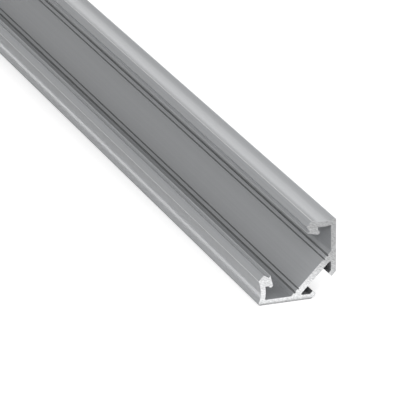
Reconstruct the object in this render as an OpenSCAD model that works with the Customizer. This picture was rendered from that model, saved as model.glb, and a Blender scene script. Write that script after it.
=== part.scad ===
// Corner profile for an LED strip: one length of extruded aluminium stock.
// Two legs at a right angle carry a seat plate set at 45 degrees across the corner.
// Each leg ends in a fluted lip with a hook that a snap-in cover would grip.
// A slot with two jaws runs along the corner, behind the seat.
// The section is drawn with the legs' outer faces on the x and y axes, meeting at the origin.

/* [Bar] */
// Length of the bar
length = 1000; // [200:50:3000]
// Outer width of each side of the section
side = 16; // [15:0.5:22]
// Thickness of the legs and of the lips' walls
wall = 1.05; // [0.9:0.05:1.3]
// Radius on the outer edge where a leg turns up into its lip
foot_r = 0.3; // [0.1:0.05:0.4]
// Radius in the inner corners
inner_r = 0.25; // [0.1:0.05:0.3]

/* [Seat] */
// Width of the seat's face from leg to leg
seat_w = 11.7; // [11:0.1:13.5]
// Thickness of the seat plate
seat_t = 1.3; // [1:0.1:1.6]
// Distance of the outer guide grooves from the legs
groove_inset = 1; // [0.6:0.1:1.4]
// Distance between the two guide grooves of a pair
groove_pitch = 1; // [0.6:0.1:1.5]
// Radius of the guide grooves
groove_r = 0.15; // [0.1:0.01:0.2]

/* [Lips] */
// Height of a lip's outer edge above its leg's outer face
lip_h = 5.05; // [4.7:0.05:6]
// Plain strip between the flute and either edge of the lip's outer face
flute_land = 0.1; // [0.05:0.05:0.3]
// Depth of the flute in a lip's outer face
flute_d = 0.42; // [0.2:0.02:0.6]
// Width of a lip's front face, which is parallel to the seat
front_w = 1.33; // [1:0.05:1.7]
// Width of the notch behind the front face
notch_w = 1.55; // [1.2:0.05:1.8]
// Depth of the notch
notch_d = 0.42; // [0.2:0.02:0.6]
// Radius on the nose between the notch and the hook
nose_r = 0.15; // [0.05:0.05:0.2]

/* [Hooks] */
// Reach of a hook inwards from its lip's outer edge
hook_reach = 3.04; // [2.8:0.02:3.3]
// Depth of a hook's tip below its lip's outer edge
hook_drop = 1.72; // [1.4:0.02:2]
// Radius of a hook's tip
hook_r = 0.42; // [0.3:0.02:0.5]
// Depth of the relief between a hook's tip and its lip's wall
relief_d = 0.44; // [0.3:0.02:0.6]

/* [Corner slot] */
// Length that the bevelled corner takes off each leg's outer face
corner_cut = 5.05; // [4.5:0.05:5.6]
// Clear width between the slot's jaws
slot_w = 4.6; // [3.6:0.1:5.4]
// Thickness of the jaws
jaw_t = 0.95; // [0.7:0.05:1.2]

/* [Hidden] */
$fn = 64;
aluminium = [0.72, 0.73, 0.74];
root2 = sqrt(2);
// How far a cutting shape runs past what it cuts
over = 1;
// How far the circle of a round crosses the faces that it blends, so that they meet cleanly
graze = 0.001;
// Distances from the corner, square to the seat
seat_front = seat_w / 2 + root2 * wall;
seat_back = seat_front - seat_t;
jaw_front = corner_cut / root2;
// A lip is drawn with x inwards from its outer edge and y up from its leg's outer face
flute_low = foot_r + flute_land;
flute_high = lip_h - flute_land;
flute_mid = (flute_low + flute_high) / 2;
flute_r = ((flute_high - flute_low) ^ 2 / 4 + flute_d ^ 2) / (2 * flute_d);
flute_centre = [flute_d - flute_r, flute_mid];
wall_r = flute_r + wall;
front_edge = [0, lip_h] + [1, 1] * front_w / root2;
notch_floor = front_edge + [notch_w / 2, -notch_d];
nose = front_edge + [notch_w, 0];
tip_centre = [hook_reach - hook_r, lip_h - hook_drop + hook_r];
relief_y = lip_h - hook_drop + relief_d;

// Point where a line from p touches the far side of a circle, turning clockwise
function touch(p, centre, r) =
    let (d = centre - p, reach = norm(d), turn = acos(r / reach), a = atan2(-d.y, -d.x) - turn)
    centre + r * [cos(a), sin(a)];

// Centre of a round that touches both faces of a corner, which leave it at angles a and b
function round_centre(p, a, b, r) = p + r / sin((b - a) / 2) * [cos((a + b) / 2), sin((a + b) / 2)];

// Material that rounds off an inner corner at p, rooted a little way into the corner
module inner_fillet(p, a, b, r) {
    centre = round_centre(p, a, b, r);
    run = r / tan((b - a) / 2);
    root = p - r * [cos((a + b) / 2), sin((a + b) / 2)];
    difference() {
        polygon([root, p + run * [cos(a), sin(a)], centre, p + run * [cos(b), sin(b)]]);
        translate(centre) circle(r + graze);
    }
}

// Waste outside a round on an outer corner at p
module outer_waste(p, a, b, r) {
    centre = round_centre(p, a, b, r);
    difference() {
        polygon([
            centre, centre + 2 * r * [-sin(b), cos(b)],
            centre + 2 * (p - centre), centre + 2 * r * [sin(a), -cos(a)]
        ]);
        translate(centre) circle(r + graze);
    }
}

// Plate parallel to the seat, from one leg's outer face to the other's
module cross_plate(distance, thickness) {
    intersection() {
        rotate(45) translate([distance, -side]) square([thickness, 2 * side]);
        square(side);
    }
}

// Fillet between a lip's inner face and its leg, rooted in both
module lip_fillet() {
    centre_y = wall + inner_r;
    reach = sqrt((wall_r + inner_r) ^ 2 - (centre_y - flute_mid) ^ 2);
    centre = flute_centre + [reach, centre_y - flute_mid];
    in_wall = flute_centre + (centre - flute_centre) * (flute_r + wall / 2) / (wall_r + inner_r);
    difference() {
        polygon([in_wall, [in_wall.x, wall / 2], [centre.x, wall / 2], centre]);
        translate(centre) circle(inner_r + graze);
    }
}

// Head of a lip with its front face, notch and hook
module lip_head() {
    on_hook = touch(nose, tip_centre, hook_r);
    on_back = tip_centre - [1, 1] * hook_r / root2;
    relief_x = on_back.x - (relief_y - on_back.y);
    to_notch = notch_floor - nose;
    to_hook = on_hook - nose;
    difference() {
        union() {
            polygon([
                [0, lip_h], [0, relief_y], [relief_x, relief_y], on_back, tip_centre,
                on_hook, nose, notch_floor, front_edge
            ]);
            translate(tip_centre) circle(hook_r + graze);
        }
        outer_waste(nose, atan2(to_notch.y, to_notch.x), atan2(to_hook.y, to_hook.x), nose_r);
    }
}

// Lip with its curved wall, drawn with the flute still full
module lip() {
    intersection() {
        translate(flute_centre) circle(wall_r, $fn = 256);
        square([hook_reach, lip_h]);
    }
    lip_fillet();
    lip_head();
}

// One leg along x with its lip, and the fillet under its end of the seat
module leg() {
    difference() {
        union() {
            square([side, wall]);
            translate([side, 0]) mirror([1, 0]) lip();
        }
        translate([side, 0]) mirror([1, 0]) {
            translate(flute_centre) circle(flute_r, $fn = 256);
            outer_waste([0, 0], 0, 90, foot_r);
        }
    }
    inner_fillet([seat_back * root2 - wall, wall], 135, 180, inner_r);
}

// Four shallow grooves that mark where the strip goes
module guide_grooves() {
    for (end = [-1, 1], k = [0, 1])
        rotate(45)
            translate([seat_front, end * (seat_w / 2 - groove_inset - k * groove_pitch)])
                circle(groove_r);
}

// Bevelled corner and the slot between its jaws
module corner_slot() {
    polygon([[-over, -over], [corner_cut + over, -over], [-over, corner_cut + over]]);
    rotate(45) translate([0, -slot_w / 2]) square([jaw_front + jaw_t + over / 2, slot_w]);
}

module section() {
    difference() {
        union() {
            leg();
            mirror([1, -1]) leg();
            cross_plate(seat_back, seat_t);
            cross_plate(jaw_front, jaw_t);
        }
        guide_grooves();
        corner_slot();
    }
}

// The bar lies on one leg, with its length along Y and its open side to -X and +Z
module corner_profile() {
    color(aluminium)
        translate([side / 2, 0, 0]) rotate([90, 0, 0])
            linear_extrude(length, center = true)
                rotate(90) section();
}

corner_profile();
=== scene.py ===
import math

import bmesh
import bpy
from mathutils import Matrix, Vector


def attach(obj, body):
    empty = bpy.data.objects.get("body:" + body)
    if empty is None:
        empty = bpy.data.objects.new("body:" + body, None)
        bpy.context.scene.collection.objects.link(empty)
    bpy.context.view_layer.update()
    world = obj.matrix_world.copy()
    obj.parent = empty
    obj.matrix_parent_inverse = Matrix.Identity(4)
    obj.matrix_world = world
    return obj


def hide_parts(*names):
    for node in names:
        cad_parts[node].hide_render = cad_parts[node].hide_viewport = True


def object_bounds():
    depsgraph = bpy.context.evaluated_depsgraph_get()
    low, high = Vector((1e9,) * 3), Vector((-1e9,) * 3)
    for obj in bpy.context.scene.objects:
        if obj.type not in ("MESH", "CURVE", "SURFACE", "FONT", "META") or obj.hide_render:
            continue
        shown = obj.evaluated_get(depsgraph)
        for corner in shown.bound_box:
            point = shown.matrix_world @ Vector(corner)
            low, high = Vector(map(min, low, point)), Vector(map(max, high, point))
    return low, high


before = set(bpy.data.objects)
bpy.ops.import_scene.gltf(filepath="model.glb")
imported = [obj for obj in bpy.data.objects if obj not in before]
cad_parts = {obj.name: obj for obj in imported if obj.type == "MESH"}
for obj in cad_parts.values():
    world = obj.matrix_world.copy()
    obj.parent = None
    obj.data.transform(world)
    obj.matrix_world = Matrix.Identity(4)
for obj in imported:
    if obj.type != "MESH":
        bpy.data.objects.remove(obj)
cadLow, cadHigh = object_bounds()
print("frame loaded:", sorted(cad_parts))

scene = bpy.context.scene
scene.view_settings.view_transform = "Standard"
mm = 0.001


# camera: low over the near end, with a long lens, the bar running off to the upper left
cameraSet = {
    "place": (-0.26874, -1.19292, 0.29155),
    "turn": (69.840, 0.248, -19.991),  # degrees
    "lens": 353.18,
    "sensor": 36.0,
    "clip": (0.05, 60.0),
}


def setCamera(values):
    data = bpy.data.cameras.new("productCamera")
    data.lens = values["lens"]
    data.sensor_width = values["sensor"]
    data.clip_start, data.clip_end = values["clip"]
    camera = bpy.data.objects.new("productCamera", data)
    scene.collection.objects.link(camera)
    camera.location = values["place"]
    camera.rotation_euler = [math.radians(angle) for angle in values["turn"]]
    scene.camera = camera


setCamera(cameraSet)
print("camera set")


# the bar's section, in mm: x inwards from the lower lip's outer face, z up from the floor
barSize = {
    "length": round((cadHigh[1] - cadLow[1]) / mm, 3),
    "side": round((cadHigh[0] - cadLow[0]) / mm, 3),
    "wall": 1.05,
    "seatFront": 7.335,        # from the corner, square to the seat
    "seatBack": 6.035,
    "grooves": ((3.82, 0.135), (4.8, 0.19)),  # place from the middle of the seat, half the width
    "grooveDepth": 0.25,
    "lipHeight": 5.05,
    "fluteEnds": (0.4, 4.95),  # heights on the lip's outer face
    "fluteDepth": 0.42,
    "frontEdge": (1.07, 6.12),
    "notchFloor": (2.09, 5.46),
    "nose": (2.46, 5.96),
    "tipCentre": (2.51, 3.86),
    "tipRadius": 0.42,
    "tipTurn": (225.0, 12.9),  # degrees, where the tip's arc starts and ends
    "reliefTop": 3.77,
    "cornerCut": 5.05,         # taken off each leg by the bevelled corner
    "jawBack": 4.521,          # from the corner, as for the seat
    "slotHalf": 2.3,           # half the width between the jaws
    "endBevel": 0.025,
    "arcSteps": {"groove": 4, "lip": 10, "tip": 12, "flute": 24},
    "weld": 0.002,             # points nearer than this become one
    "slack": 0.02,             # for telling which face lies where
    "endFacing": 0.9,          # share of an end face's normal that runs along the bar
    "sharpAngle": 24.0,        # degrees
    # rounds on the long edges: reach along each face, segments
    "rounds": {
        "foot": (0.3, 6),
        "lipCorner": (0.08, 4),
        "frontEdge": (0.09, 4),
        "notchFloor": (0.05, 3),
        "nose": (0.13, 5),
        "lipRoot": (0.2, 5),
        "cutEdge": (0.05, 3),
        "seatRoot": (0.6, 6),
    },
}
# the finishes on the bar, in the order of its material slots; the third has painted shade and the fourth a
# painted highlight in its colour
finishes = ("satinAluminium", "sawnAluminium", "paintedShadeAluminium", "paintedHighlightAluminium")


def slanted(size, depth, across):
    # a point given by its distance from the corner and its place along the seat
    half = math.sqrt(0.5)
    return (size["side"] - (depth + across) * half, (depth - across) * half)


def onLeg(size, depth):
    # where a line along the seat's direction meets the leg's inner face
    return (size["side"] - depth * math.sqrt(2) + size["wall"], size["wall"])


def fluteArc(size):
    # centre and radius of the lip's outer face, from the flute's two ends and its depth
    low, high = size["fluteEnds"]
    radius = ((high - low) ** 2 / 4 + size["fluteDepth"] ** 2) / (2 * size["fluteDepth"])
    return (size["fluteDepth"] - radius, (low + high) / 2), radius


def onLipWall(size, height):
    # a point on the lip's inner face, which is an arc about the flute's centre
    centre, radius = fluteArc(size)
    inner = radius + size["wall"]
    return (centre[0] + math.sqrt(inner ** 2 - (height - centre[1]) ** 2), height)


def roundedCorners(size):
    # where the lower leg has a round on a long edge
    return {
        "foot": (0.0, 0.0),
        "lipCorner": (0.0, size["lipHeight"]),
        "frontEdge": size["frontEdge"],
        "notchFloor": size["notchFloor"],
        "nose": size["nose"],
        "lipRoot": onLipWall(size, size["wall"]),
        "cutEdge": (size["side"] - size["cornerCut"], 0.0),
        "seatRoot": onLeg(size, size["seatBack"]),
    }


def mirrored(size, point):
    # the same place on the other leg
    return (size["side"] - point[1], size["side"] - point[0])


class Pen:
    # draws the section one vertex after another
    def __init__(self, bm, start):
        self.bm = bm
        self.tip = bm.verts.new((start[0], 0, start[1]))

    def line(self, *points):
        for x, z in points:
            vert = self.bm.verts.new((x, 0, z))
            self.bm.edges.new((self.tip, vert))
            self.tip = vert

    def arc(self, centre, end, steps):
        # the shorter way round
        start = math.atan2(self.tip.co.z - centre[1], self.tip.co.x - centre[0])
        stop = math.atan2(end[1] - centre[1], end[0] - centre[0])
        turn = (stop - start + math.pi) % (2 * math.pi) - math.pi
        made = bmesh.ops.spin(self.bm, geom=[self.tip], cent=(centre[0], 0, centre[1]),
                              axis=(0, -1, 0), angle=turn, steps=steps)
        self.tip = [part for part in made["geom_last"] if isinstance(part, bmesh.types.BMVert)][0]
        self.tip.co = (end[0], 0, end[1])


def drawGroove(pen, size, across, half):
    # straight sides and a round bottom
    top = size["seatFront"]
    bottom = top - size["grooveDepth"]
    centre = slanted(size, bottom + half, across)
    steps = size["arcSteps"]["groove"]
    pen.line(slanted(size, top, across - half), slanted(size, bottom + half, across - half))
    pen.arc(centre, slanted(size, bottom, across), steps)
    pen.arc(centre, slanted(size, bottom + half, across + half), steps)
    pen.line(slanted(size, top, across + half))


def drawLip(pen, size):
    # up the inner face, round the hook and over the notch, then down the flute
    steps = size["arcSteps"]
    fluteCentre = fluteArc(size)[0]
    pen.line(onLipWall(size, size["wall"]))
    pen.arc(fluteCentre, onLipWall(size, size["reliefTop"]), steps["lip"])
    x, z = size["tipCentre"]
    turns = [math.radians(angle) for angle in size["tipTurn"]]
    start, end = [(x + size["tipRadius"] * math.cos(turn), z + size["tipRadius"] * math.sin(turn))
                  for turn in turns]
    # the relief comes down to the tip at 45 degrees
    pen.line((start[0] - (size["reliefTop"] - start[1]), size["reliefTop"]), start)
    pen.arc(size["tipCentre"], end, steps["tip"])
    pen.line(size["nose"], size["notchFloor"], size["frontEdge"])
    pen.line((0, size["lipHeight"]), (0, size["fluteEnds"][1]))
    pen.arc(fluteCentre, (0, size["fluteEnds"][0]), steps["flute"])


def drawHalf(bm, size):
    # from the middle of the seat round one leg to the middle of the seat's back
    pen = Pen(bm, slanted(size, size["seatFront"], 0))
    for across, half in size["grooves"]:
        drawGroove(pen, size, across, half)
    pen.line(onLeg(size, size["seatFront"]))
    drawLip(pen, size)
    jawFront = size["cornerCut"] * math.sqrt(0.5)
    pen.line((0, 0), (size["side"] - size["cornerCut"], 0))
    pen.line(slanted(size, jawFront, size["slotHalf"]), slanted(size, size["jawBack"], size["slotHalf"]))
    pen.line(onLeg(size, size["jawBack"]), onLeg(size, size["seatBack"]))
    pen.line(slanted(size, size["seatBack"], 0))


def longEdges(bm, size, place):
    # the edges that run along the bar at a place in the section
    found = []
    for edge in bm.edges:
        near, far = edge.verts[0].co, edge.verts[1].co
        isLong = abs(far.y - near.y) > size["side"]
        if isLong and math.hypot(near.x - place[0], near.z - place[1]) < size["slack"] / 2:
            found.append(edge)
    return found


def isEnd(size, face):
    return abs(face.normal.y) > size["endFacing"]


def inPaintedShade(size, place):
    # whether a place on the long faces is inside a guide groove or in the cavities behind the seat, where
    # shade is painted into the colour
    slack = size["slack"]
    depth = (size["side"] - place.x + place.z) * math.sqrt(0.5)
    across = abs(size["side"] - place.x - place.z) * math.sqrt(0.5)
    if depth > size["seatBack"] + slack:
        inGroove = any(abs(across - middle) < half + slack for middle, half in size["grooves"])
        return inGroove and depth < size["seatFront"] - slack
    inside = min(place.z, size["side"] - place.x)
    return depth > size["jawBack"] - slack and inside > size["wall"] - slack


def onPaintedHighlight(size, place):
    # whether a place is on the round of a lip's outer corner or of its nose, where a highlight is painted
    # into the colour
    corners = roundedCorners(size)
    for name in ("lipCorner", "nose"):
        reach = size["rounds"][name][0] + size["slack"] / 2
        for x, z in (corners[name], mirrored(size, corners[name])):
            if math.hypot(place.x - x, place.z - z) < reach:
                return True
    return False


def finishOf(size, face):
    place = face.calc_center_median()
    if isEnd(size, face):
        return "sawnAluminium"
    if inPaintedShade(size, place):
        return "paintedShadeAluminium"
    if onPaintedHighlight(size, place):
        return "paintedHighlightAluminium"
    return "satinAluminium"


def buildBar(size):
    bm = bmesh.new()
    drawHalf(bm, size)
    # the second leg is the first one mirrored across the line square to the seat
    seam = Matrix.Translation((size["side"], 0, 0)) @ Matrix.Rotation(-math.pi / 4, 4, "Y")
    bmesh.ops.mirror(bm, geom=bm.verts[:] + bm.edges[:], matrix=seam.inverted(), merge_dist=-1, axis="X")
    bmesh.ops.remove_doubles(bm, verts=bm.verts, dist=size["weld"])
    section = bmesh.ops.contextual_create(bm, geom=bm.edges[:])["faces"]
    grown = bmesh.ops.extrude_face_region(bm, geom=section)
    moved = [part for part in grown["geom"] if isinstance(part, bmesh.types.BMVert)]
    bmesh.ops.translate(bm, verts=moved, vec=(0, size["length"] - 2 * size["endBevel"], 0))
    bmesh.ops.recalc_face_normals(bm, faces=bm.faces)
    corners = roundedCorners(size)
    for name, (reach, segments) in size["rounds"].items():
        edges = longEdges(bm, size, corners[name]) + longEdges(bm, size, mirrored(size, corners[name]))
        bmesh.ops.bevel(bm, geom=edges, offset=reach, offset_type="OFFSET", segments=segments,
                        profile=0.5, affect="EDGES", clamp_overlap=False, material=-1)
    ends = [face for face in bm.faces if isEnd(size, face)]
    bmesh.ops.inset_region(bm, faces=ends, thickness=size["endBevel"], depth=size["endBevel"],
                           use_even_offset=True)
    for face in bm.faces:
        face.smooth = True
        face.material_index = finishes.index(finishOf(size, face))
    middle = (-size["side"] / 2, -size["length"] / 2 + size["endBevel"], 0)
    bmesh.ops.translate(bm, verts=bm.verts, vec=middle)
    bmesh.ops.scale(bm, verts=bm.verts, vec=(mm, mm, mm))
    bmesh.ops.recalc_face_normals(bm, faces=bm.faces)
    mesh = bpy.data.meshes.new("cornerBar")
    bm.to_mesh(mesh)
    bm.free()
    mesh.set_sharp_from_angle(angle=math.radians(size["sharpAngle"]))
    bar = bpy.data.objects.new("cornerBar", mesh)
    scene.collection.objects.link(bar)
    # the flat faces stay flat right up to the small rounds beside them
    bar.modifiers.new("flatNormals", "WEIGHTED_NORMAL").keep_sharp = True
    return bar


bar = buildBar(barSize)
print("bar built:", len(bar.data.polygons), "faces")


# materials for the bar: noise on Object coordinates, drawn out into fine lines
def emptyTree(owner):
    # the nodes and links of a material or a world, with nothing in them yet
    owner.use_nodes = True
    owner.node_tree.nodes.clear()
    return owner.node_tree.nodes, owner.node_tree.links


def newMetal(name):
    material = bpy.data.materials.new(name)
    nodes, links = emptyTree(material)
    output = nodes.new("ShaderNodeOutputMaterial")
    shader = nodes.new("ShaderNodeBsdfPrincipled")
    links.new(shader.outputs[0], output.inputs[0])
    return material, nodes, links, shader


def stretchedNoise(nodes, links, scale, detail, roughness=0.5, turn=0):
    # scale is per metre, and turn is in degrees about the bar's length
    coords = nodes.new("ShaderNodeTexCoord")
    mapping = nodes.new("ShaderNodeMapping")
    mapping.vector_type = "TEXTURE"
    mapping.inputs["Rotation"].default_value = (0, math.radians(turn), 0)
    mapping.inputs["Scale"].default_value = [1 / each for each in scale]
    noise = nodes.new("ShaderNodeTexNoise")
    noise.inputs["Scale"].default_value = 1
    noise.inputs["Detail"].default_value = detail
    noise.inputs["Roughness"].default_value = roughness
    links.new(coords.outputs["Object"], mapping.inputs["Vector"])
    links.new(mapping.outputs[0], noise.inputs["Vector"])
    return noise.outputs["Fac"]


def remap(nodes, links, source, low, high, span=(0.3, 0.7)):
    # the span is where most of the noise lies, and becomes low to high
    node = nodes.new("ShaderNodeMapRange")
    node.inputs["From Min"].default_value = span[0]
    node.inputs["From Max"].default_value = span[1]
    node.inputs["To Min"].default_value = low
    node.inputs["To Max"].default_value = high
    links.new(source, node.inputs["Value"])
    return node.outputs["Result"]


def blendColours(nodes, links, factor, dark, light):
    node = nodes.new("ShaderNodeMix")
    node.data_type = "RGBA"
    links.new(factor, node.inputs["Factor"])
    node.inputs[6].default_value = (*dark, 1)
    node.inputs[7].default_value = (*light, 1)
    return node.outputs[2]


def addBump(nodes, links, shader, height, strength, depth):
    bump = nodes.new("ShaderNodeBump")
    bump.inputs["Strength"].default_value = strength
    bump.inputs["Distance"].default_value = depth
    links.new(height, bump.inputs["Height"])
    links.new(bump.outputs[0], shader.inputs["Normal"])


satin = {
    "dark": (0.394, 0.405, 0.419),
    "light": (0.444, 0.455, 0.469),
    "metallic": 0.4,
    "roughness": (0.34, 0.42),
    "coat": 0.6,
    "coatRoughness": 0.07,
    "bandScale": (2200, 0.5, 2200),  # per metre: across, along and up the bar
    "bandDetail": 3,
    "bandSpan": (0.32, 0.68),
    "lineScale": (6000, 2, 6000),
    "lineDetail": 2,
    "lineDepth": 0.000003,
    "lineStrength": 0.35,
}
# the same metal with painted shade, darker in grooves and cavities, and with a painted highlight, lighter
# on the lips' corners
paintedShadeSatin = {**satin, "dark": (0.21, 0.216, 0.224), "light": (0.27, 0.277, 0.285)}
paintedHighlightSatin = {**satin, "dark": (0.66, 0.67, 0.68), "light": (0.76, 0.77, 0.78)}


def satinMetal(name, look):
    material, nodes, links, shader = newMetal(name)
    # die lines run along the bar
    bands = stretchedNoise(nodes, links, look["bandScale"], look["bandDetail"])
    lines = stretchedNoise(nodes, links, look["lineScale"], look["lineDetail"])
    share = remap(nodes, links, bands, 0, 1, look["bandSpan"])
    colour = blendColours(nodes, links, share, look["dark"], look["light"])
    links.new(colour, shader.inputs["Base Color"])
    links.new(remap(nodes, links, bands, *look["roughness"]), shader.inputs["Roughness"])
    addBump(nodes, links, shader, lines, look["lineStrength"], look["lineDepth"])
    shader.inputs["Metallic"].default_value = look["metallic"]
    shader.inputs["Coat Weight"].default_value = look["coat"]
    shader.inputs["Coat Roughness"].default_value = look["coatRoughness"]
    return material


sawn = {
    "dark": (0.38, 0.385, 0.39),
    "light": (0.83, 0.835, 0.84),
    "roughness": (0.38, 0.5),
    "markScale": (350, 350, 6500),   # per metre: along the marks, along the bar, across the marks
    "markDetail": 3,
    "markTurn": 28,                  # degrees up from the lower leg
    "markDepth": 0.00001,
    "markStrength": 0.4,
    "grainScale": (1700, 1700, 4200),
    "grainDetail": 4,
    "grainRoughness": 0.7,
    "grainSpan": (0.38, 0.62),
    "grainShare": 0.6,               # of the colour, and the marks have the rest
}


def sawnMetal(name, look):
    material, nodes, links, shader = newMetal(name)
    marks = stretchedNoise(nodes, links, look["markScale"], look["markDetail"], turn=look["markTurn"])
    grain = stretchedNoise(nodes, links, look["grainScale"], look["grainDetail"],
                           look["grainRoughness"], look["markTurn"])
    both = nodes.new("ShaderNodeMath")
    both.operation = "ADD"
    links.new(remap(nodes, links, grain, 0, look["grainShare"], look["grainSpan"]), both.inputs[0])
    links.new(remap(nodes, links, marks, 0, 1 - look["grainShare"]), both.inputs[1])
    colour = blendColours(nodes, links, both.outputs[0], look["dark"], look["light"])
    links.new(colour, shader.inputs["Base Color"])
    links.new(remap(nodes, links, marks, *look["roughness"]), shader.inputs["Roughness"])
    addBump(nodes, links, shader, marks, look["markStrength"], look["markDepth"])
    shader.inputs["Metallic"].default_value = 1
    return material


makers = {
    "satinAluminium": (satinMetal, satin),
    "sawnAluminium": (sawnMetal, sawn),
    "paintedShadeAluminium": (satinMetal, paintedShadeSatin),
    "paintedHighlightAluminium": (satinMetal, paintedHighlightSatin),
}
for name in finishes:
    make, look = makers[name]
    bar.data.materials.append(make(name, look))
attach(bar, "root")
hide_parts("corner_profile")
print("materials on")


# floor, room and lamps
studio = {
    "floorSize": 80.0,
    "floorDrop": 0.00005,  # below the leg that the bar lies on
    "floorColour": (0.6, 0.6, 0.6),
    "cameraWhite": 0.62,   # white that the camera sees on top of the lit floor
    "metalWhite": 0.05,    # and that the metal sees
    "roomLevel": 0.4,
    # soft boxes in the room: direction, degrees out to no light, degrees of full light, level
    "glows": [
        ((0.6, 0.0, 0.8), 45, 15, 1.28),
        ((-1.0, 0.0, -0.05), 60, 15, 0.85),
        ((1.0, 0.0, 0.25), 55, 15, 0.4),
        ((0.355, 0.883, 0.308), 13, 2, 0.86),
        ((0.122, 0.883, 0.454), 12, 2, 0.32),
        ((-0.407, 0.883, 0.235), 12, 2, 0.3),
    ],
}


def paleFloor(values):
    material = bpy.data.materials.new("paleFloor")
    nodes, links = emptyTree(material)
    output = nodes.new("ShaderNodeOutputMaterial")
    diffuse = nodes.new("ShaderNodeBsdfDiffuse")
    diffuse.inputs["Color"].default_value = (*values["floorColour"], 1)
    white = nodes.new("ShaderNodeEmission")
    rays = nodes.new("ShaderNodeLightPath")
    # each kind of ray sees its own share of white
    level = None
    for ray, amount in (("Is Camera Ray", values["cameraWhite"]), ("Is Glossy Ray", values["metalWhite"])):
        share = nodes.new("ShaderNodeMath")
        share.operation = "MULTIPLY_ADD"
        share.inputs[1].default_value = amount
        share.inputs[2].default_value = 0
        links.new(rays.outputs[ray], share.inputs[0])
        if level is not None:
            links.new(level, share.inputs[2])
        level = share.outputs[0]
    total = nodes.new("ShaderNodeAddShader")
    links.new(level, white.inputs["Strength"])
    links.new(diffuse.outputs[0], total.inputs[0])
    links.new(white.outputs[0], total.inputs[1])
    links.new(total.outputs[0], output.inputs[0])
    return material


def buildFloor(values):
    bm = bmesh.new()
    bmesh.ops.create_grid(bm, x_segments=1, y_segments=1, size=values["floorSize"] / 2)
    mesh = bpy.data.meshes.new("studioFloor")
    bm.to_mesh(mesh)
    bm.free()
    floor = bpy.data.objects.new("studioFloor", mesh)
    scene.collection.objects.link(floor)
    floor.location.z = -values["floorDrop"]
    floor.data.materials.append(paleFloor(values))


def buildRoom(values):
    world = bpy.data.worlds.new("studioRoom")
    scene.world = world
    nodes, links = emptyTree(world)
    output = nodes.new("ShaderNodeOutputWorld")
    coords = nodes.new("ShaderNodeTexCoord")
    # each glow is added to those before it, and the first to the room's own level
    level = None
    for direction, outer, inner, strength in values["glows"]:
        facing = nodes.new("ShaderNodeVectorMath")
        facing.operation = "DOT_PRODUCT"
        facing.inputs[1].default_value = Vector(direction).normalized()
        links.new(coords.outputs["Generated"], facing.inputs[0])
        glow = nodes.new("ShaderNodeMapRange")
        glow.interpolation_type = "SMOOTHSTEP"
        glow.inputs["From Min"].default_value = math.cos(math.radians(outer))
        glow.inputs["From Max"].default_value = math.cos(math.radians(inner))
        glow.inputs["To Max"].default_value = strength
        links.new(facing.outputs["Value"], glow.inputs["Value"])
        total = nodes.new("ShaderNodeMath")
        total.operation = "ADD"
        total.inputs[1].default_value = values["roomLevel"]
        links.new(glow.outputs[0], total.inputs[0])
        if level is not None:
            links.new(level, total.inputs[1])
        level = total.outputs[0]
    room = nodes.new("ShaderNodeBackground")
    room.inputs["Color"].default_value = (1, 1, 1, 1)
    links.new(level, room.inputs["Strength"])
    # the camera sees plain white behind everything
    white = nodes.new("ShaderNodeBackground")
    white.inputs["Color"].default_value = (1, 1, 1, 1)
    rays = nodes.new("ShaderNodeLightPath")
    mix = nodes.new("ShaderNodeMixShader")
    links.new(rays.outputs["Is Camera Ray"], mix.inputs[0])
    links.new(room.outputs[0], mix.inputs[1])
    links.new(white.outputs[0], mix.inputs[2])
    links.new(mix.outputs[0], output.inputs[0])


lamps = {
    # thin strip on the floor, along the lower lip, for the bright line in its flute
    "edgeStrip": {
        "place": (-0.01026, 0, 0.0001),
        "aim": (-0.01026, 0, 1),
        "size": (0.0003, 1.2),
        "level": 2.45,
    },
    # reflector on the floor in front of the near end
    "endPad": {
        "place": (-0.001, -0.5085, 0.0001),
        "aim": (-0.001, -0.5085, 1),
        "size": (0.024, 0.016),
        "level": 1.05,
    },
    # soft box in front, to the left and above
    "nearBox": {
        "place": (-0.05, -0.62, 0.12),
        "aim": (0, -0.5, 0.004),
        "size": (0.06, 0.06),
        "level": 8.0,
    },
}


def addLamp(name, values):
    data = bpy.data.lights.new(name, "AREA")
    data.shape = "RECTANGLE"
    data.size, data.size_y = values["size"]
    data.energy = values["level"] * math.pi * data.size * data.size_y
    lamp = bpy.data.objects.new(name, data)
    scene.collection.objects.link(lamp)
    lamp.location = values["place"]
    beam = Vector(values["aim"]) - Vector(values["place"])
    lamp.rotation_euler = beam.to_track_quat("-Z", "Y").to_euler()
    lamp.visible_camera = False


buildFloor(studio)
buildRoom(studio)
for name, values in lamps.items():
    addLamp(name, values)
print("studio set")
